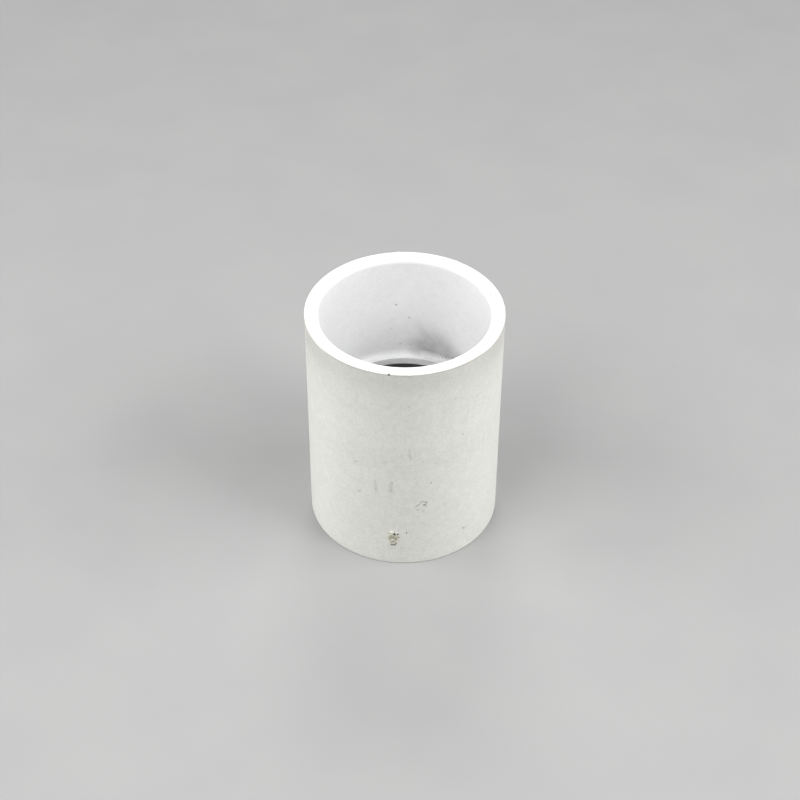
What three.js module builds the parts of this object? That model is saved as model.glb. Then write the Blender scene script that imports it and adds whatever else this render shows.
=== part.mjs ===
// Reducing coupling for solvent-weld PVC pressure pipe.
//
// One injection moulding: a straight barrel with a tapered pipe socket in each
// end and a stop ring between them. The upper socket takes 50 mm pipe, the
// lower one 1 1/2 inch pipe (48.3 mm outside). Millimetres, +Z up along the
// bore, origin at the centre of the lower end face.

import * as THREE from 'three';

// ---- driving dimensions (mm) ----------------------------------------------

const BODY_HEIGHT = 75.0;          // end face to end face

const BODY_OD_BOTTOM = 58.3;       // outside diameter at the lower end
const BODY_OD_TOP = 58.6;          // and at the upper end: slight moulding draft
const OUTER_EDGE_ROUND = 0.35;     // broken outer edge at both end faces

const UPPER_MOUTH_D = 50.3;        // upper socket, entrance diameter
const UPPER_ROOT_D = 49.8;         // upper socket, diameter at its root
const LOWER_MOUTH_D = 48.56;       // lower socket, entrance diameter
const LOWER_ROOT_D = 48.12;        // lower socket, diameter at its root
const LEAD_IN_RADIAL = 0.9;        // rounded lead-in at each socket mouth,
const LEAD_IN_AXIAL = 1.7;         // longer along the axis

const STOP_BORE_D = 45.7;          // waterway through the stop ring
const STOP_LENGTH = 2.5;           // axial length of the stop ring
const STOP_EDGE_ROUND = 0.25;      // broken edges of the stop ring's bore
const UPPER_FILLET_RADIAL = 1.15;   // fillet between upper socket wall and ledge,
const UPPER_FILLET_AXIAL = 2.0;   // a little longer along the axis
const LOWER_FILLET = 0.5;          // the same on the lower socket, whose ledge is narrower

const SEGMENTS = 84;               // facets round the axis
const ARC_STEPS = 3;               // chords in each small round

// ---- profile --------------------------------------------------------------

// Quarter of an ellipse from `from` to `to`, bulging towards `corner`, the
// point where the two straight sides would have met.
function quarter(from, to, corner, steps) {
  const points = [];
  for (let i = 0; i <= steps; i++) {
    const t = (i / steps) * Math.PI / 2;
    const a = 1 - Math.sin(t);
    const b = 1 - Math.cos(t);
    points.push(new THREE.Vector2(
      corner.x + (from.x - corner.x) * a + (to.x - corner.x) * b,
      corner.y + (from.y - corner.y) * a + (to.y - corner.y) * b,
    ));
  }
  return points;
}

const v = (r, z) => new THREE.Vector2(r, z);

const stopLow = (BODY_HEIGHT - STOP_LENGTH) / 2;    // lower ledge plane
const stopHigh = (BODY_HEIGHT + STOP_LENGTH) / 2;   // upper ledge plane

function couplingProfile() {
  const H = BODY_HEIGHT;
  const rb = BODY_OD_BOTTOM / 2;
  const rt = BODY_OD_TOP / 2;
  const um = UPPER_MOUTH_D / 2;
  const ur = UPPER_ROOT_D / 2;
  const lm = LOWER_MOUTH_D / 2;
  const lr = LOWER_ROOT_D / 2;
  const sb = STOP_BORE_D / 2;
  const e = OUTER_EDGE_ROUND;
  const s = STOP_EDGE_ROUND;
  const fr = UPPER_FILLET_RADIAL;
  const fz = UPPER_FILLET_AXIAL;
  const fl = LOWER_FILLET;

  const corners = [
    // outer edge at the lower end, then up the barrel to the upper end
    [v(rb - e, 0), v(rb, e), v(rb, 0), ARC_STEPS],
    [v(rt, H - e), v(rt - e, H), v(rt, H), ARC_STEPS],
    // upper socket: lead-in, wall, root fillet, ledge
    [v(um + LEAD_IN_RADIAL, H), v(um, H - LEAD_IN_AXIAL), v(um, H), ARC_STEPS + 1],
    [v(ur, stopHigh + fz), v(ur - fr, stopHigh), v(ur, stopHigh), ARC_STEPS],
    // stop ring
    [v(sb + s, stopHigh), v(sb, stopHigh - s), v(sb, stopHigh), 1],
    [v(sb, stopLow + s), v(sb + s, stopLow), v(sb, stopLow), 1],
    // lower socket: ledge, root fillet, wall, lead-in
    [v(lr - fl, stopLow), v(lr, stopLow - fl), v(lr, stopLow), ARC_STEPS],
    [v(lm, LEAD_IN_AXIAL), v(lm + LEAD_IN_RADIAL, 0), v(lm, 0), ARC_STEPS + 1],
  ];

  const profile = corners.flatMap(([from, to, corner, steps]) => quarter(from, to, corner, steps));
  profile.push(profile[0].clone());    // closes on itself
  return profile;
}

// ---- scene ----------------------------------------------------------------

const pvcWhite = new THREE.MeshStandardMaterial({
  name: 'white_pvc',
  color: 0xe9e8e2,
  roughness: 0.5,
  metalness: 0,
});

const couplingBody = new THREE.Mesh(
  new THREE.LatheGeometry(couplingProfile(), SEGMENTS),
  pvcWhite,
);
couplingBody.name = 'coupling_body';
couplingBody.rotation.x = Math.PI / 2;    // lathe axis +Y becomes +Z

const reducingCoupling = new THREE.Group();
reducingCoupling.name = 'reducing_coupling';
reducingCoupling.add(couplingBody);

export default reducingCoupling;
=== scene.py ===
"""Reducing coupling, white PVC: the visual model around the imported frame, with a
plain pale floor, soft studio light and the camera at the photograph's angle.
Lengths in the mesh code are in millimetres and are turned to metres at the end."""

import math

import bpy
import numpy as np
from mathutils import Matrix, Vector


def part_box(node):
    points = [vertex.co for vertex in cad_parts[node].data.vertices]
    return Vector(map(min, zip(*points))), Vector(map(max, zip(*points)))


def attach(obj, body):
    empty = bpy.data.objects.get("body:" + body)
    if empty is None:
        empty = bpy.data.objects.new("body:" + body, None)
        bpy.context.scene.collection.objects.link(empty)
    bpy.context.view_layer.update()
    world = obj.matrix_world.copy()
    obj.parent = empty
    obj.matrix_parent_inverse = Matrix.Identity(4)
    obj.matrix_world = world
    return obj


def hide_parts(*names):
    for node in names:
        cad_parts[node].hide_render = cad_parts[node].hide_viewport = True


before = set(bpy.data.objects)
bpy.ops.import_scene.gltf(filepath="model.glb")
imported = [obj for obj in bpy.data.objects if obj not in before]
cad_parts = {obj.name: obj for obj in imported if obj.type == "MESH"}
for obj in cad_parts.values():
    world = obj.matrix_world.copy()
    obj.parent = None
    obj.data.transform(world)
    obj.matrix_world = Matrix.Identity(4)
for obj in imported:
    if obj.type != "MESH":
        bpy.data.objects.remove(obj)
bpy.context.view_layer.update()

MM = 0.001
SCENE = bpy.context.scene

# ---------------------------------------------------------------- dimensions
# The same driving dimensions as the CAD model (mm). The height and the top diameter are read from
# the frame, and the bottom diameter is set from the top one, so that the two models can't drift apart.

node_lo, node_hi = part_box("coupling_body")
H = (node_hi[2] - node_lo[2]) / MM
R_TOP = (node_hi[0] - node_lo[0]) / 2 / MM
R_BOT = R_TOP - 0.15
EDGE = 0.35
UM, UR = 50.3 / 2, 49.8 / 2
LM, LR = 48.56 / 2, 48.12 / 2
LEAD, LEAD_Z = 0.9, 1.7
SB = 45.7 / 2
STOP = 2.5
FILLET_R, FILLET_Z = 1.15, 2.0        # fillet of the upper stop face
LEDGE_U = (H + STOP) / 2
LEDGE_L = (H - STOP) / 2

GATE_ANG, GATE_Z = -6.2, 10.45       # torn gate stub, degrees from the front (-Y), mm up
GATE_W, GATE_H = 1.60, 2.95          # its half width and half height


# ---------------------------------------------------------------- small maths
def smooth(a, b, x):
    t = np.clip((x - a) / (b - a), 0.0, 1.0)
    return t * t * (3 - 2 * t)


def waves(theta, z, seed, count, k_max, len_min, len_max):
    """Smooth seeded noise on the wall, about -1 to 1, periodic round the axis."""
    rng = np.random.default_rng(seed)
    total = np.zeros(np.broadcast(theta, z).shape)
    for _ in range(count):
        k = rng.integers(0, k_max + 1)
        wave = rng.uniform(len_min, len_max) * rng.choice([-1, 1])
        total = total + np.cos(k * theta + 2 * np.pi * z / wave + rng.uniform(0, 2 * np.pi))
    return total / math.sqrt(count)


def spots(s, t, seed, cell):
    """Value noise on a fine local grid, 0 to 1, for the torn gate."""
    rng = np.random.default_rng(seed)
    grid = rng.random((64, 64))
    x, y = s / cell + 32.0, t / cell + 32.0
    i, j = np.floor(x).astype(int), np.floor(y).astype(int)
    fx, fy = x - i, y - j
    fx, fy = fx * fx * (3 - 2 * fx), fy * fy * (3 - 2 * fy)
    i, j = i % 63, j % 63
    return (grid[i, j] * (1 - fx) * (1 - fy) + grid[i + 1, j] * fx * (1 - fy)
            + grid[i, j + 1] * (1 - fx) * fy + grid[i + 1, j + 1] * fx * fy)


# ---------------------------------------------------------------- the profile
# Rows of the revolved mesh: (r, z, zone). Every round has its own rows, with a
# support row close on each side, so that flats stay flat and rounds stay round.
OUT, RIM_U, SOCK_U, STOP_Z, SOCK_L, RIM_L = range(6)


def quarter(r0, z0, r1, z1, rc, zc, steps, zone):
    """Quarter ellipse from (r0, z0) to (r1, z1) bulging towards (rc, zc)."""
    rows = []
    for i in range(steps + 1):
        t = i / steps * math.pi / 2
        a, b = 1 - math.sin(t), 1 - math.cos(t)
        rows.append((rc + (r0 - rc) * a + (r1 - rc) * b, zc + (z0 - zc) * a + (z1 - zc) * b, zone))
    return rows


def line(r0, z0, r1, z1, params, zone):
    return [(r0 + (r1 - r0) * t, z0 + (z1 - z0) * t, zone) for t in params]


def profile():
    rows = quarter(R_BOT - EDGE, 0, R_BOT, EDGE, R_BOT, 0, 5, OUT)
    # outer wall: even rows, with fine rows across the gate stub
    zs = set(np.round(np.linspace(EDGE + 0.25, H - EDGE - 0.25, 74), 3))
    zs = {z for z in zs if abs(z - GATE_Z) > GATE_H + 1.1}
    zs |= set(np.round(np.arange(GATE_Z - GATE_H - 1.0, GATE_Z + GATE_H + 1.01, 0.115), 3))
    for z in sorted(zs):
        rows.append((R_BOT + (R_TOP - R_BOT) * z / H, z, OUT))
    rows += quarter(R_TOP, H - EDGE, R_TOP - EDGE, H, R_TOP, H, 5, RIM_U)
    rows += line(R_TOP - EDGE, H, UM + LEAD, H, (0.06, 0.25, 0.5, 0.75, 0.94), RIM_U)
    rows += quarter(UM + LEAD, H, UM, H - LEAD_Z, UM, H, 11, RIM_U)
    rows += line(UM, H - LEAD_Z, UR, LEDGE_U + FILLET_Z, [0.01] + list(np.linspace(0.04, 0.96, 19)) + [0.99], SOCK_U)
    rows += quarter(UR, LEDGE_U + FILLET_Z, UR - FILLET_R, LEDGE_U, UR, LEDGE_U, 11, SOCK_U)
    rows += line(UR - FILLET_R, LEDGE_U, SB + 0.25, LEDGE_U, (0.12, 0.35, 0.5, 0.65, 0.88), STOP_Z)
    rows += quarter(SB + 0.25, LEDGE_U, SB, LEDGE_U - 0.25, SB, LEDGE_U, 4, STOP_Z)
    rows += line(SB, LEDGE_U - 0.25, SB, LEDGE_L + 0.25, (0.1, 0.3, 0.5, 0.7, 0.9), STOP_Z)
    rows += quarter(SB, LEDGE_L + 0.25, SB + 0.25, LEDGE_L, SB, LEDGE_L, 4, STOP_Z)
    rows += line(SB + 0.25, LEDGE_L, LR - 0.5, LEDGE_L, (0.2, 0.5, 0.8), STOP_Z)
    rows += quarter(LR - 0.5, LEDGE_L, LR, LEDGE_L - 0.5, LR, LEDGE_L, 5, SOCK_L)
    rows += line(LR, LEDGE_L - 0.5, LM, LEAD_Z, [0.01] + list(np.linspace(0.05, 0.95, 15)) + [0.99], SOCK_L)
    rows += quarter(LM, LEAD_Z, LM + LEAD, 0, LM, 0, 9, RIM_L)
    rows += line(LM + LEAD, 0, R_BOT - EDGE, 0, (0.06, 0.3, 0.6, 0.94), RIM_L)
    return rows


# ---------------------------------------------------------------- the columns
def columns():
    """Angles round the axis from the front (-Y), in radians, closer together
    where the wall carries a small feature."""
    base = np.linspace(-180, 180, 313)[:-1]
    fine = [(GATE_ANG, 3.9, 0.20), (-8.7, 0.9, 0.22), (2.4, 0.9, 0.25), (-176.5, 1.0, 0.3),
            (147.6, 1.0, 0.3), (90.0, 0.8, 0.2), (-90.0, 0.8, 0.2), (49.0, 0.8, 0.25)]
    keep = [a for a in base if all(abs(a - c) > w + 0.4 for c, w, _ in fine)]
    for c, w, step in fine:
        keep += list(np.arange(c - w, c + w + 1e-6, step))
    keep = sorted(set(round(((a + 180) % 360) - 180, 4) for a in keep))
    merged = [keep[0]]
    for a in keep[1:]:
        if a - merged[-1] > 0.12:
            merged.append(a)
    return np.radians(np.array(merged))


def near(theta, degrees):
    """Distance in mm round the wall from the given angle."""
    d = theta - math.radians(degrees)
    return (np.arctan2(np.sin(d), np.cos(d))) * R_TOP


# ---------------------------------------------------------------- the surface
def build_body():
    rows = profile()
    th = columns()
    r = np.array([p[0] for p in rows])[:, None] * np.ones(len(th))
    z = np.array([p[1] for p in rows])[:, None] * np.ones(len(th))
    zone = np.array([p[2] for p in rows])[:, None]
    t = th[None, :] * np.ones(len(rows))[:, None]
    fresh_r, fresh_z = r.copy(), z.copy()

    outer = zone == OUT
    rim_u, rim_l = zone == RIM_U, zone == RIM_L
    inner = (zone == SOCK_U) | (zone == SOCK_L) | (zone == STOP_Z)

    # moulded walls are never quite true: a slow wave, and the faint sink where the
    # stop ring thickens the wall
    slow = waves(t, fresh_z, 11, 14, 5, 45, 160)
    wall = 0.018 * slow + 0.006 * waves(t, fresh_z, 12, 26, 22, 9, 30)
    sink = -0.006 * np.exp(-((fresh_z - H / 2) / 2.6) ** 2)
    body_side = outer | (rim_u & (fresh_r > R_TOP - EDGE * 1.05))
    r = r + np.where(body_side, wall, 0) + np.where(outer, sink, 0)
    r = r + np.where(inner, 0.010 * waves(t, fresh_z, 21, 14, 5, 30, 90), 0)

    # parting line: a faint witness on each side, uneven along its height
    for angle, seed in ((90.0, 5), (-90.0, 6)):
        ridge = np.exp(-(near(t, angle) / 0.16) ** 2)
        height = 0.028 + 0.014 * waves(np.zeros_like(fresh_z), fresh_z, seed, 9, 0, 6, 30)
        r = r + np.where(outer, ridge * np.clip(height, 0.004, 0.06), 0)

    # the rim: a slightly raised, slightly uneven outer edge, with specks of flash
    edge_u = np.exp(-((fresh_r - (R_TOP - 0.12)) / 0.3) ** 2) * np.exp(-((H - fresh_z) / 0.3) ** 2)
    uneven = 0.016 * waves(t, np.zeros_like(t), 31, 18, 40, 50, 90)
    front = np.clip(np.cos(t), 0, 1) ** 2
    r = r + np.where(rim_u, edge_u * (0.16 * (1 - 0.75 * front) + uneven), 0)
    z = z + np.where(rim_u, 0.010 * waves(t, np.zeros_like(t), 32, 12, 14, 50, 90), 0)
    for angle, up, width in ((-176.5, 0.16, 0.45), (147.6, 0.12, 0.4), (49.0, 0.05, 0.5)):
        bump = np.exp(-(near(t, angle) / width) ** 2) * edge_u
        z = z + np.where(rim_u, up * bump, 0)
        r = r + np.where(rim_u, 0.5 * up * bump, 0)
    # a nick, and a little flash, on its front edge
    for angle, deep, width in ((-8.7, 0.30, 0.24), (2.6, -0.13, 0.42)):
        cut = np.exp(-(near(t, angle) / width) ** 2)
        edge = np.exp(-(np.hypot(fresh_r - R_TOP, fresh_z - H) / 0.55) ** 2)
        r = r - deep * cut * edge
        z = z - 0.7 * deep * cut * edge
    edge_l = np.exp(-((fresh_r - (R_BOT - 0.15)) / 0.3) ** 2) * np.exp(-(fresh_z / 0.3) ** 2)
    r = r + np.where(outer & (fresh_z < 0.6), edge_l * uneven * 0.8, 0)

    # concentric tool marks on the pipe stop and its fillet
    marks = np.zeros_like(r)
    for radius, deep in ((24.62, 0.05), (24.3, 0.06), (23.95, 0.06), (23.45, 0.05)):
        marks -= deep * np.exp(-((fresh_r - radius) / 0.10) ** 2)
    on_ledge = ((zone == SOCK_U) & (fresh_z < LEDGE_U + 0.95 * FILLET_Z)) | ((zone == STOP_Z) & (fresh_z > LEDGE_U - 0.02))
    z = z + np.where(on_ledge, marks, 0)

    # torn gate stub: stands a little proud, broken off unevenly
    s = near(t, GATE_ANG)
    v = fresh_z - GATE_Z
    lean = 0.16 * np.sin(v * 1.7) + 0.30 * (spots(s, v, 41, 0.8) - 0.5)
    q = (np.abs(s - 0.1 + lean) / GATE_W) ** 2.4 + (np.abs(v - 0.15 + 0.2 * np.sin(s * 2.3)) / GATE_H) ** 2.6
    body = smooth(1.30, 0.55, q)
    rough = 0.30 * (spots(s, v, 42, 0.42) - 0.5) + 0.16 * (spots(s, v, 43, 0.2) - 0.5)
    stub = body * (0.17 + rough)
    for ds, dv, wide, tall, up in ((-0.30, 2.70, 0.62, 0.36, 0.12), (0.90, 2.65, 0.45, 0.30, 0.03),
                                   (-0.25, -0.50, 0.45, 0.50, 0.10), (0.98, -0.88, 0.30, 0.35, 0.12),
                                   (0.42, 1.85, 0.30, 0.30, -0.45), (0.42, 2.45, 0.14, 0.30, -0.22),
                                   (1.38, 1.88, 0.24, 0.24, -0.34), (-0.10, -1.25, 0.32, 0.18, -0.22),
                                   (-0.33, -2.55, 0.32, 0.30, -0.26), (0.42, -2.35, 0.34, 0.30, -0.26),
                                   (-0.27, 0.45, 0.45, 0.20, -0.14), (1.55, 0.60, 0.30, 0.35, -0.14),
                                   (-1.10, 0.00, 0.25, 0.90, -0.10)):
        stub += up * np.exp(-(((s - ds) / wide) ** 2 + ((v - dv) / tall) ** 2))
    halo = 0.04 * smooth(3.0, 1.1, q) * (1 - body)
    r = r + np.where(outer & (np.abs(v) < GATE_H + 1.0), stub + halo, 0)

    # scratches with a little depth
    for a0, z0, a1, z1, deep in ((6.9, 23.9, 10.3, 25.6, 0.03), (10.3, 25.6, 12.3, 24.3, 0.05), (11.6, 25.7, 13.2, 24.9, 0.03)):
        p = np.stack([near(t, 0.0), fresh_z], -1)
        a = np.array([math.radians(a0) * R_TOP, z0])
        b = np.array([math.radians(a1) * R_TOP, z1])
        ab = b - a
        k = np.clip(((p - a) @ ab) / (ab @ ab), 0, 1)[..., None]
        d = np.linalg.norm(p - (a + k * ab), axis=-1)
        r = r - np.where(outer, deep * np.exp(-(d / 0.28) ** 2), 0)

    x = r * np.sin(t) * MM
    y = -r * np.cos(t) * MM
    zz = np.maximum(z, 0.0) * MM
    n_rows, n_cols = x.shape
    verts = np.stack([x, y, zz], -1).reshape(-1, 3)
    i = np.arange(n_rows)[:, None]
    j = np.arange(n_cols)[None, :]
    i2, j2 = (i + 1) % n_rows, (j + 1) % n_cols
    quads = np.stack([i * n_cols + j, i * n_cols + j2, i2 * n_cols + j2, i2 * n_cols + j], -1).reshape(-1, 4)

    mesh = bpy.data.meshes.new("coupling_moulding")
    mesh.vertices.add(len(verts))
    mesh.vertices.foreach_set("co", verts.astype(np.float32).ravel())
    mesh.loops.add(len(quads) * 4)
    mesh.polygons.add(len(quads))
    mesh.loops.foreach_set("vertex_index", quads.astype(np.int32).ravel())
    mesh.polygons.foreach_set("loop_start", np.arange(0, len(quads) * 4, 4, dtype=np.int32))
    mesh.update(calc_edges=True)
    mesh.validate()
    mesh.polygons.foreach_set("use_smooth", np.ones(len(quads), bool))
    mesh.update()
    obj = bpy.data.objects.new("coupling_moulding", mesh)
    SCENE.collection.objects.link(obj)
    return obj


# ---------------------------------------------------------------- materials
class Nodes:
    """Short calls for building a node tree."""

    def __init__(self, name):
        self.mat = bpy.data.materials.new(name)
        self.mat.use_nodes = True
        self.tree = self.mat.node_tree
        self.tree.nodes.clear()

    def add(self, kind, **props):
        n = self.tree.nodes.new(kind)
        for k, v in props.items():
            setattr(n, k, v)
        return n

    def link(self, a, b):
        self.tree.links.new(a, b)

    def put(self, socket, value):
        if isinstance(value, bpy.types.NodeSocket):
            self.link(value, socket)
        else:
            socket.default_value = value

    def math(self, op, a, b=None, c=None, clamp=False):
        n = self.add("ShaderNodeMath", operation=op, use_clamp=clamp)
        for k, v in enumerate((a, b, c)):
            if v is not None:
                self.put(n.inputs[k], v)
        return n.outputs[0]

    def noise(self, vector, scale, detail=2.0, rough=0.5, distortion=0.0):
        n = self.add("ShaderNodeTexNoise")
        self.put(n.inputs["Vector"], vector)
        n.inputs["Scale"].default_value = scale
        n.inputs["Detail"].default_value = detail
        n.inputs["Roughness"].default_value = rough
        n.inputs["Distortion"].default_value = distortion
        return n

    def ramp(self, value, lo, hi, out_lo=0.0, out_hi=1.0, kind="SMOOTHSTEP"):
        n = self.add("ShaderNodeMapRange", interpolation_type=kind)
        self.put(n.inputs["Value"], value)
        n.inputs["From Min"].default_value = lo
        n.inputs["From Max"].default_value = hi
        n.inputs["To Min"].default_value = out_lo
        n.inputs["To Max"].default_value = out_hi
        return n.outputs[0]

    def mix(self, factor, a, b, blend="MIX"):
        n = self.add("ShaderNodeMix", data_type="RGBA", blend_type=blend)
        self.put(n.inputs["Factor"], factor)
        self.put(n.inputs["A"], a) if not isinstance(a, tuple) else None
        for socket, value in ((n.inputs[6], a), (n.inputs[7], b)):
            self.put(socket, value)
        return n.outputs[2]


def wall_place(angle, z, radius=None):
    """Point on the outer wall in metres, and its frame: round, up, out."""
    a = math.radians(angle)
    rad = radius if radius is not None else R_BOT + (R_TOP - R_BOT) * z / H
    out = Vector((math.sin(a), -math.cos(a), 0))
    around = Vector((math.cos(a), math.sin(a), 0))
    return Vector((rad * out.x, rad * out.y, z)) * MM, around, Vector((0, 0, 1)), out


def pvc_material():
    m = Nodes("white_pvc_moulded")
    coords = m.add("ShaderNodeTexCoord").outputs["Object"]
    out = m.add("ShaderNodeOutputMaterial")
    bsdf = m.add("ShaderNodeBsdfPrincipled")
    m.link(bsdf.outputs[0], out.inputs["Surface"])

    xyz = m.add("ShaderNodeSeparateXYZ")
    m.link(coords, xyz.inputs[0])
    radius = m.math("SQRT", m.math("ADD", m.math("MULTIPLY", xyz.outputs[0], xyz.outputs[0]),
                                   m.math("MULTIPLY", xyz.outputs[1], xyz.outputs[1])))
    outside = m.ramp(radius, 0.0272, 0.0288)
    high = xyz.outputs[2]

    # colour: neutral white inside, a little greener and warmer outside where it has
    # aged, with a slow clouding and a fine mottled grain
    base = m.mix(outside, (0.798, 0.798, 0.799, 1), (0.720, 0.721, 0.680, 1))
    aged = m.mix(outside, (0.769, 0.769, 0.770, 1), (0.696, 0.694, 0.650, 1))
    cloud = m.noise(coords, 55.0, 3.0, 0.55)
    base = m.mix(m.ramp(cloud.outputs[0], 0.40, 0.72, 0.0, 0.45), base, aged)
    fine = m.noise(coords, 420.0, 3.0, 0.6)
    speck = m.noise(coords, 1600.0, 3.0, 0.75)
    grain = m.math("ADD", m.math("MULTIPLY", m.math("SUBTRACT", fine.outputs[0], 0.5), 0.20),
                   m.math("MULTIPLY", m.math("SUBTRACT", speck.outputs[0], 0.5), 0.40))
    grain = m.math("MULTIPLY", grain, m.math("ADD", m.math("MULTIPLY", outside, 0.42), 0.58))
    gain = m.add("ShaderNodeVectorMath", operation="SCALE")
    m.link(base, gain.inputs[0])
    m.link(m.math("ADD", grain, 1.0), gain.inputs["Scale"])
    base = gain.outputs[0]

    # broken coordinates, so that marks have ragged edges
    ragged = m.noise(coords, 2600.0, 2.0, 0.6)
    shift = m.add("ShaderNodeVectorMath", operation="SUBTRACT")
    m.link(ragged.outputs["Color"], shift.inputs[0])
    shift.inputs[1].default_value = (0.5, 0.5, 0.5)
    scaled = m.add("ShaderNodeVectorMath", operation="SCALE")
    m.link(shift.outputs[0], scaled.inputs[0])
    scaled.inputs["Scale"].default_value = 0.00042
    moved = m.add("ShaderNodeVectorMath", operation="ADD")
    m.link(coords, moved.inputs[0])
    m.link(scaled.outputs[0], moved.inputs[1])
    rag = moved.outputs[0]

    last = []

    def mark(place, half_w, half_h, turn=0.0, soft=0.5, depth=0.9):
        """Mask, 1 at the middle of an ellipse on the surface and 0 outside it. Each
        one also takes a shift of a billionth of a metre from the one before, which
        puts them in a row, so that the shader never has to hold many at once."""
        point, around, up, outward = place
        basis = Matrix((around, up, outward)).transposed() @ Matrix.Rotation(math.radians(turn), 3, "Z")
        start = rag
        if last:
            row = m.add("ShaderNodeVectorMath", operation="MULTIPLY_ADD")
            m.link(last[-1], row.inputs[0])
            row.inputs[1].default_value = (1e-9, 1e-9, 1e-9)
            m.link(rag, row.inputs[2])
            start = row.outputs[0]
        n = m.add("ShaderNodeMapping", vector_type="TEXTURE")
        m.link(start, n.inputs["Vector"])
        n.inputs["Location"].default_value = point
        n.inputs["Rotation"].default_value = basis.to_euler("XYZ")
        n.inputs["Scale"].default_value = (half_w * MM, half_h * MM, depth * MM)
        d = m.add("ShaderNodeVectorMath", operation="LENGTH")
        m.link(n.outputs[0], d.inputs[0])
        last.append(m.ramp(d.outputs["Value"], 1.0, 1.0 - soft))
        return last[-1]

    def spot(*args):
        """A mark that is made only when it is gathered."""
        return lambda: mark(*args)

    def gather(items):
        """The strongest of several weighted masks."""
        total = None
        for make, weight in items:
            w = m.math("MULTIPLY", make(), weight)
            total = w if total is None else m.math("MAXIMUM", total, w)
            last.append(total)
        return total

    W = wall_place
    inner = lambda ang, z: wall_place(180.0 - ang, z, UR + (UM - UR) * (z - LEDGE_U) / (H - LEDGE_U))

    # black flecks moulded into the plastic
    flecks = gather([
        (spot(W(1.75, 13.0), 0.20, 0.66), 0.80),
        (spot(W(38.9, 8.9), 0.36, 0.32), 0.85),
        (spot(W(40.7, 9.3), 0.52, 0.18, 25), 0.60),
        (spot(W(16.0, 32.8), 0.26, 0.32), 0.66),
        (spot(W(2.7, 63.2), 0.30, 0.34), 0.34),
        (spot(W(35.8, 48.2), 0.28, 0.45), 0.40),
        (spot(W(28.5, 69.5), 0.26, 0.28), 0.40),
        (spot(W(29.8, 63.2), 0.24, 0.28), 0.34),
        (spot(inner(-5.9, 58.1), 0.30, 0.42), 0.74),
        (spot(inner(3.4, 53.1), 0.28, 0.40), 0.52),
        (spot(inner(-9.5, 49.0), 0.24, 0.30), 0.34),
        (spot(inner(-3.0, 42.8), 0.30, 0.30), 0.46),
        (spot(inner(4.1, 42.4), 0.28, 0.28), 0.44),
        (spot(inner(34.0, 40.9), 0.34, 0.34), 0.55),
        (spot(inner(36.5, 45.0), 0.26, 0.30), 0.30),
        (spot(inner(27.0, 40.4), 0.30, 0.30), 0.40),
        (spot(inner(29.0, 40.0), 0.36, 0.26), 0.50),
        (spot(inner(31.5, 40.2), 0.30, 0.30), 0.55),
        (spot(inner(37.5, 41.2), 0.34, 0.34), 0.55),
        (spot(inner(38.0, 40.2), 0.34, 0.30), 0.50),
        (spot(W(107.5, H, 26.5), 0.30, 0.30, 0, 0.6, 0.6), 0.96),
    ])
    # grey scuffs, upright smudges and the V-shaped scratch
    scuffs = gather([
        (spot(W(8.4, 24.4), 1.60, 0.28, 42), 0.62),
        (spot(W(11.0, 25.6), 0.95, 0.30, 8), 0.64),
        (spot(W(13.2, 25.1), 0.66, 0.46, -30), 0.76),
        (spot(W(12.1, 24.2), 0.56, 0.60, -20), 0.76),
        (spot(W(13.0, 23.9), 0.28, 0.60, 10), 0.85),
        (spot(W(8.2, 22.5), 0.80, 0.55, 30, 0.8), 0.34),
        (spot(W(11.6, 21.9), 0.70, 0.60, 0, 0.9), 0.26),
        (spot(W(3.4, 44.2), 0.95, 2.60, 8, 0.95), 0.26),
        (spot(W(3.1, 46.4), 0.60, 0.70, 0, 0.9), 0.36),
        (spot(W(3.8, 43.4), 0.50, 1.00, 14, 0.8), 0.40),
        (spot(W(-1.6, 44.6), 0.70, 1.10, 0, 0.8), 0.24),
        (spot(W(-7.4, 31.2), 1.05, 3.60, 0, 0.95), 0.24),
        (spot(W(-6.9, 33.4), 0.48, 1.00, -8, 0.8), 0.50),
        (spot(W(-7.7, 30.3), 0.95, 0.85, 0, 0.9), 0.42),
        (spot(W(-5.9, 29.8), 0.45, 1.30, 6, 0.95), 0.26),
        (spot(W(-16.6, 31.0), 0.90, 3.80, 0, 0.95), 0.17),
        (spot(W(-16.9, 33.2), 0.42, 0.60, 0, 0.8), 0.42),
        (spot(W(-16.5, 30.1), 0.62, 1.10, 0, 0.9), 0.42),
        (spot(W(-27.4, 27.3), 1.20, 0.62, -30, 0.8), 0.36),
        (spot(W(-25.8, 28.0), 0.70, 0.30, -30, 0.7), 0.30),
        (spot(W(-28.7, 39.0), 1.20, 0.70, 8, 0.8), 0.30),
        (spot(W(-30.0, 38.2), 0.60, 0.50, 0, 0.8), 0.22),
        (spot(W(-11.0, 41.4), 1.40, 0.60, 0, 0.9), 0.18),
        (spot(W(11.4, 41.8), 1.10, 0.50, 0, 0.9), 0.24),
        (spot(W(18.6, 40.2), 1.30, 0.60, 0, 0.9), 0.18),
        (spot(W(24.2, 40.0), 1.00, 0.50, 0, 0.9), 0.20),
        (spot(W(9.4, 67.6), 1.70, 0.24, 50), 0.24),
        (spot(W(3.0, 62.0), 0.50, 0.80, 0, 0.8), 0.16),
        (spot(W(-1.0, 6.6), 0.90, 0.50, 0, 0.9), 0.24),
        (spot(W(-16.1, 5.4), 1.00, 0.40, 0, 0.9), 0.20),
        (spot(W(11.0, 17.0), 0.24, 1.20, 6, 0.8), 0.16),
    ])
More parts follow.
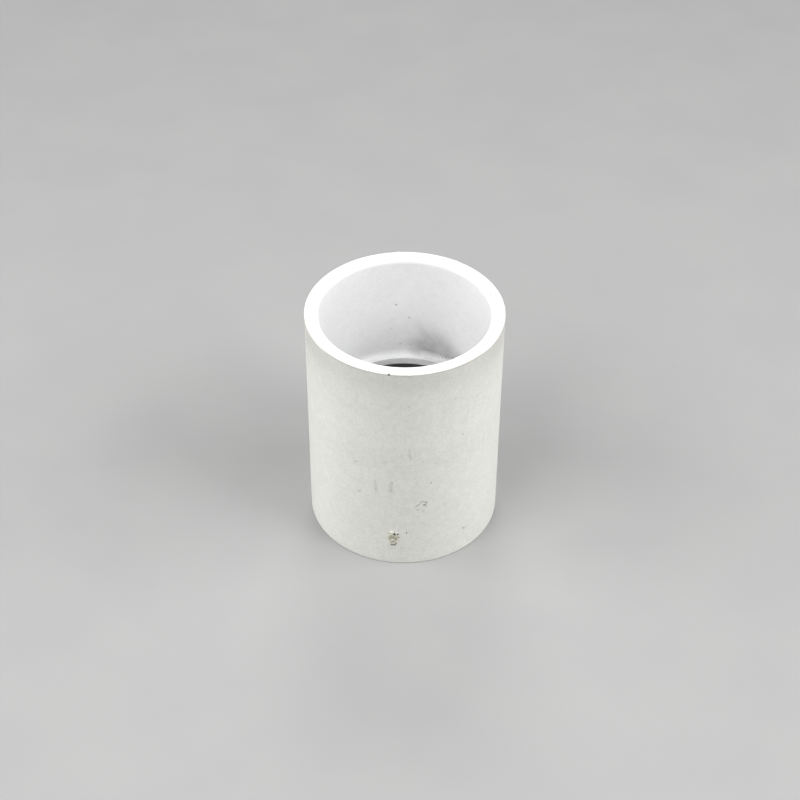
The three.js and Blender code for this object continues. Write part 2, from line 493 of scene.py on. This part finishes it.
    # flecks and rubbed streaks on the rest of the wall, scattered
    cell = m.add("ShaderNodeTexVoronoi", feature="F1")
    m.link(coords, cell.inputs["Vector"])
    cell.inputs["Scale"].default_value = 95.0
    pick = m.add("ShaderNodeSeparateColor")
    m.link(cell.outputs["Color"], pick.inputs[0])
    away = m.ramp(xyz.outputs[1], -0.017, -0.008)
    dots = m.math("MULTIPLY", m.ramp(cell.outputs["Distance"], 0.030, 0.016), m.ramp(pick.outputs[0], 0.74, 0.76))
    dots = m.math("MULTIPLY", dots, m.math("MULTIPLY", away, 0.42))

    stretch = m.add("ShaderNodeMapping")
    m.link(coords, stretch.inputs["Vector"])
    stretch.inputs["Scale"].default_value = (1.0, 1.0, 0.28)
    stretch.inputs["Rotation"].default_value = (0.5, 0.35, 0.0)
    rub = m.noise(stretch.outputs[0], 320.0, 5.0, 0.68, 0.4)
    patch = m.noise(coords, 48.0, 2.0, 0.5)
    rubbed = m.math("MULTIPLY", m.ramp(rub.outputs[0], 0.60, 0.74), m.ramp(patch.outputs[0], 0.50, 0.66))
    rubbed = m.math("MULTIPLY", rubbed, m.math("MULTIPLY", outside, 0.16))

    # a faint grey bloom just above mid-height, and painted shade under the rim, deeper towards the left and right sides
    waist = m.math("MULTIPLY", m.ramp(high, 0.0500, 0.0430), m.ramp(high, 0.0370, 0.0386))
    waist = m.math("MULTIPLY", waist, m.math("MULTIPLY", outside, 0.035))
    # painted shade under the rim, deeper at the left and right sides
    collar = m.math("ADD", m.ramp(high, 0.0480, 0.0640, 0.0, 0.085, "LINEAR"), m.ramp(high, 0.0640, 0.0725, 0.0, 0.15))
    sides = m.ramp(m.math("ABSOLUTE", xyz.outputs[0]), 0.018, 0.0285)
    sides = m.math("MULTIPLY", sides, m.ramp(high, 0.0560, 0.0725, 0.0, 0.17))
    collar = m.math("MULTIPLY", m.math("ADD", collar, sides), m.math("MULTIPLY", outside, m.ramp(high, 0.0749, 0.0745)))
    # the front of the rim's rounded edge is rubbed grey
    worn = m.math("MULTIPLY", m.ramp(xyz.outputs[1], -0.0150, -0.0215), m.ramp(radius, 0.02902, 0.02916))
    worn = m.math("MULTIPLY", worn, m.math("MULTIPLY", m.ramp(high, 0.07440, 0.07462), m.ramp(high, 0.07500, 0.07488, 0.0, 0.62)))
    collar = m.math("MAXIMUM", collar, worn)

    # scuffs, rubbed streaks, the grey bloom and the rubbed rim edge, together with the painted shade under the rim
    scuffs_and_shade = m.math("MAXIMUM", m.math("MAXIMUM", scuffs, rubbed), m.math("ADD", waist, collar))
    base = m.mix(scuffs_and_shade, base, (0.28, 0.275, 0.247, 1))

    # inside: painted shade low on the right of the upper socket, running into the stop's corner, with dark
    # specks near the ledge, and nearly black painted shade on the lower socket's wall under the stop
    blot = m.noise(coords, 300.0, 4.0, 0.7)
    inside = m.math("SUBTRACT", 1.0, outside)
    # painted shade: a dark wedge low on the right of the upper socket, and its reach up and to the side
    patchy = mark(inner(29.0, 41.0), 14.5, 8.6, 22, 0.72, 8.0)
    tail_up = mark(inner(13.0, 48.5), 2.4, 5.2, -34, 0.9, 5.0)
    shade_and_specks = m.math("ADD", m.math("MULTIPLY", patchy, m.ramp(blot.outputs[0], 0.30, 0.62, 0.40, 0.54)),
                   m.math("MULTIPLY", tail_up, 0.10))
    above = mark(inner(25.0, 48.8), 10.0, 4.6, 6, 0.95, 6.0)
    beside = mark(inner(7.5, 43.2), 6.2, 3.0, 0, 0.95, 5.0)
    shade_and_specks = m.math("ADD", shade_and_specks, m.math("ADD", m.math("MULTIPLY", above, 0.13), m.math("MULTIPLY", beside, 0.15)))
    # dark specks near the ledge on the right, inside that painted shade
    low = m.ramp(high, 0.0450, 0.0412)
    pepper = m.math("MULTIPLY", m.ramp(blot.outputs[0], 0.58, 0.68), m.math("MULTIPLY", low, 0.28))
    pepper = m.math("MULTIPLY", pepper, m.ramp(xyz.outputs[0], -0.0060, 0.0))
    shade_and_specks = m.math("MULTIPLY", m.math("ADD", shade_and_specks, pepper), m.math("MULTIPLY", inside, m.ramp(high, 0.0398, 0.0413)))
    base = m.mix(shade_and_specks, base, (0.22, 0.22, 0.222, 1))
    # painted shade along the stop's fillet on the right
    shelf = mark(inner(21.0, 39.7), 10.5, 2.6, 0, 0.55, 4.5)
    base = m.mix(m.math("MULTIPLY", shelf, m.math("MULTIPLY", inside, m.ramp(blot.outputs[0], 0.35, 0.62, 0.24, 0.40))),
                 base, (0.24, 0.24, 0.242, 1))
    # painted shade, nearly black, on the lower socket's wall just under the stop
    under = m.math("MULTIPLY", m.ramp(high, 0.0285, 0.0345), m.math("MULTIPLY", inside, m.ramp(high, 0.0364, 0.0361)))
    base = m.mix(m.math("MULTIPLY", under, 0.96), base, (0.045, 0.045, 0.044, 1))
    base = m.mix(m.math("MAXIMUM", flecks, dots), base, (0.045, 0.042, 0.036, 1))

    # brownish tinge at one place on the edge
    tinge = mark(W(-80.0, 71.0), 2.2, 2.6, 0, 0.95, 2.0)
    base = m.mix(m.math("MULTIPLY", tinge, 0.28), base, (0.60, 0.47, 0.33, 1))

    # torn gate: yellowed, with burnt pits, a painted highlight on its top lip and painted shadow under it
    degree = math.degrees(1.0 / 29.2)

    def at_gate(ds, dv, half_w, half_h, turn=0.0, soft=0.6):
        return spot(W(GATE_ANG + ds * degree, GATE_Z + dv), half_w, half_h, turn, soft, 1.6)

    chips = m.noise(coords, 1500.0, 4.0, 0.7)
    base = m.mix(m.math("MULTIPLY", at_gate(0.00, 0.15, 2.25, 3.35, 0, 0.45)(), 0.72), base, (0.635, 0.630, 0.522, 1))
    tan = at_gate(0.15, 0.10, 1.75, 2.75, 0, 0.5)()
    tan = m.math("MULTIPLY", tan, m.ramp(chips.outputs[0], 0.36, 0.58, 0.18, 0.78))
    base = m.mix(tan, base, (0.360, 0.336, 0.252, 1))
    # pale chips, and a painted highlight along the stub's top lip where it faces the light
    pale = gather([
        (at_gate(-0.35, 2.75, 0.78, 0.66), 0.95), (at_gate(0.95, 2.70, 0.62, 0.36), 0.50),
        (at_gate(-0.25, -0.50, 0.50, 0.62), 0.85), (at_gate(0.98, -0.88, 0.34, 0.42), 0.85),
        (at_gate(-1.20, -1.30, 0.50, 1.00), 0.60), (at_gate(0.20, -1.75, 0.70, 0.26), 0.60),
        (at_gate(-1.75, 1.10, 0.55, 0.80), 0.55),
    ])
    base = m.mix(pale, base, (0.79, 0.776, 0.668, 1))
    brown = gather([
        (at_gate(-0.27, 0.45, 0.62, 0.24), 0.62), (at_gate(1.55, 0.60, 0.55, 0.60, 0, 0.8), 0.62),
        (at_gate(1.05, 0.20, 0.34, 0.46), 0.55), (at_gate(-1.05, -0.10, 0.28, 1.30), 0.50),
        (at_gate(-0.75, 1.30, 0.55, 0.60), 0.45), (at_gate(-1.36, 1.97, 0.38, 0.42), 0.55),
        (at_gate(0.70, -0.60, 0.18, 0.80), 0.35),
    ])
    base = m.mix(brown, base, (0.20, 0.185, 0.115, 1))
    # burnt pits, and painted shadow under the stub's lower edge
    pits_and_shadow = gather([
        (at_gate(0.42, 1.88, 0.52, 0.42, 0, 0.5), 1.0), (at_gate(0.42, 2.45, 0.20, 0.40), 0.85),
        (at_gate(1.38, 1.88, 0.40, 0.34, 0, 0.5), 0.95), (at_gate(-0.10, -1.25, 0.46, 0.24, 0, 0.5), 0.85),
        (at_gate(-0.36, -2.60, 0.66, 0.58, 0, 0.8), 0.86), (at_gate(0.46, -2.42, 0.62, 0.60, 0, 0.8), 0.86),
        (at_gate(0.95, -1.92, 0.56, 0.28, 35, 0.7), 0.66), (at_gate(-0.95, -2.35, 0.36, 0.24), 0.30),
    ])
    base = m.mix(pits_and_shadow, base, (0.045, 0.040, 0.022, 1))
    # dirt in the nick in the rim's front edge
    nick = mark(W(-8.7, H - 0.25, R_TOP - 0.1), 0.46, 0.50, 0, 0.6, 0.8)
    base = m.mix(m.math("MULTIPLY", nick, 0.95), base, (0.08, 0.075, 0.06, 1))

    m.link(base, bsdf.inputs["Base Color"])

    # roughness: satin, duller where rubbed and where the shade under the rim is painted
    rough = m.ramp(fine.outputs[0], 0.3, 0.7, 0.40, 0.50, "LINEAR")
    rough = m.math("ADD", rough, m.math("MULTIPLY", scuffs_and_shade, 0.35), clamp=True)
    rough = m.math("ADD", rough, m.math("MULTIPLY", tan, 0.3), clamp=True)
    m.link(rough, bsdf.inputs["Roughness"])

    # moulding texture and hairline handling scratches
    peel = m.noise(coords, 750.0, 2.0, 0.5)
    hair_map = m.add("ShaderNodeMapping")
    m.link(coords, hair_map.inputs["Vector"])
    hair_map.inputs["Scale"].default_value = (1.0, 1.0, 0.05)
    hair = m.noise(hair_map.outputs[0], 2200.0, 2.0, 0.6)
    height = m.math("ADD", m.math("MULTIPLY", peel.outputs[0], 0.7), m.math("MULTIPLY", hair.outputs[0], 0.3))
    bump = m.add("ShaderNodeBump")
    bump.inputs["Strength"].default_value = 0.22
    bump.inputs["Distance"].default_value = 0.00006
    m.link(height, bump.inputs["Height"])
    m.link(bump.outputs[0], bsdf.inputs["Normal"])

    bsdf.inputs["IOR"].default_value = 1.53
    bsdf.inputs["Subsurface Weight"].default_value = 0.12
    bsdf.inputs["Subsurface Radius"].default_value = (1.0, 0.92, 0.80)
    bsdf.inputs["Subsurface Scale"].default_value = 0.0012
    return m.mat


def floor_material():
    m = Nodes("studio_floor")
    coords = m.add("ShaderNodeTexCoord").outputs["Object"]
    out = m.add("ShaderNodeOutputMaterial")
    bsdf = m.add("ShaderNodeBsdfPrincipled")
    m.link(bsdf.outputs[0], out.inputs["Surface"])
    grain = m.noise(coords, 30.0, 2.0, 0.5)
    m.link(m.mix(m.ramp(grain.outputs[0], 0.3, 0.7, 0.0, 1.0), (0.335, 0.335, 0.335, 1), (0.345, 0.345, 0.343, 1)),
           bsdf.inputs["Base Color"])
    bsdf.inputs["Roughness"].default_value = 0.75
    return m.mat


# ---------------------------------------------------------------- the object
body = build_body()
body.data.materials.append(pvc_material())
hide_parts("coupling_body")
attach(body, "root")


# ---------------------------------------------------------------- the stage
def make_floor():
    n, radius = 96, 14.0
    ring = [(math.cos(a) * radius, math.sin(a) * radius, 0.0) for a in np.linspace(0, 2 * math.pi, n, endpoint=False)]
    mesh = bpy.data.meshes.new("floor")
    mesh.from_pydata(ring, [], [tuple(range(n))])
    obj = bpy.data.objects.new("floor", mesh)
    SCENE.collection.objects.link(obj)
    mesh.materials.append(floor_material())
    return obj


make_floor()


def area(name, place, target, size, power, color=(1, 1, 1), shape="RECTANGLE", size_y=None, spread=180.0):
    data = bpy.data.lights.new(name, "AREA")
    data.shape = shape
    data.size = size
    data.size_y = size_y or size
    data.energy = power
    data.color = color
    data.spread = math.radians(spread)
    obj = bpy.data.objects.new(name, data)
    SCENE.collection.objects.link(obj)
    obj.location = place
    direction = Vector(target) - Vector(place)
    obj.rotation_euler = direction.to_track_quat("-Z", "Y").to_euler()
    return obj


# Soft boxes of 0.34 m, 0.95 m from the part: (azimuth from the front towards +X,
# elevation, power in W). Together they make one broad, slightly frontal soft light.
SOFT_BOXES = [
    (0, 90, 0.87), (45, 62, 1.43), (315, 62, 1.78),
    (30, 42, 0.40), (60, 42, 4.05), (90, 42, 1.77), (180, 42, 2.65), (270, 42, 1.83), (300, 42, 2.37), (330, 42, 2.13),
    (90, 22, 0.80), (270, 22, 0.86), (300, 22, 0.20),
    (90, 8, 1.84), (120, 8, 0.59), (240, 8, 1.49), (270, 8, 1.12),
]
AIM = (0.0, 0.0, 0.04)
for azimuth, elevation, power in SOFT_BOXES:
    a, e = math.radians(azimuth), math.radians(elevation)
    place = (0.95 * math.sin(a) * math.cos(e), -0.95 * math.cos(a) * math.cos(e) + 0.001, 0.95 * math.sin(e) + AIM[2])
    area(f"soft_box_{azimuth}_{elevation}", place, AIM, 0.34, power)

world = bpy.data.worlds.new("studio")
SCENE.world = world
world.use_nodes = True
sky = world.node_tree.nodes["Background"]
sky.inputs["Color"].default_value = (1.0, 1.0, 1.0, 1)
sky.inputs["Strength"].default_value = 0.02

SCENE.view_settings.view_transform = "Standard"
SCENE.view_settings.look = "None"
SCENE.view_settings.exposure = 0.0
SCENE.view_settings.gamma = 1.0

# ---------------------------------------------------------------- the camera
ELEVATION, ROLL = math.radians(40.60), -0.0047
DISTANCE, SHIFT_X, SHIFT_Y = 18.84 * 29.15, 0.0434 * 29.15, -0.0868 * 29.15
forward = Vector((0, math.cos(ELEVATION), -math.sin(ELEVATION)))
level_up = Vector((0, math.sin(ELEVATION), math.cos(ELEVATION)))
right = math.cos(ROLL) * Vector((1, 0, 0)) - math.sin(ROLL) * level_up
up = math.sin(ROLL) * Vector((1, 0, 0)) + math.cos(ROLL) * level_up
centre = Vector((0, 0, H / 2))
place = (centre - SHIFT_X * right - SHIFT_Y * up - DISTANCE * forward) * MM

camera_data = bpy.data.cameras.new("camera")
camera_data.sensor_width = 36.0
camera_data.lens = 1801.0 / 800.0 * 36.0
camera_data.clip_start = 0.01
camera_data.clip_end = 60.0
camera = bpy.data.objects.new("camera", camera_data)
SCENE.collection.objects.link(camera)
turn = Matrix((right, up, -forward)).transposed().to_4x4()
camera.matrix_world = Matrix.Translation(place) @ turn
SCENE.camera = camera
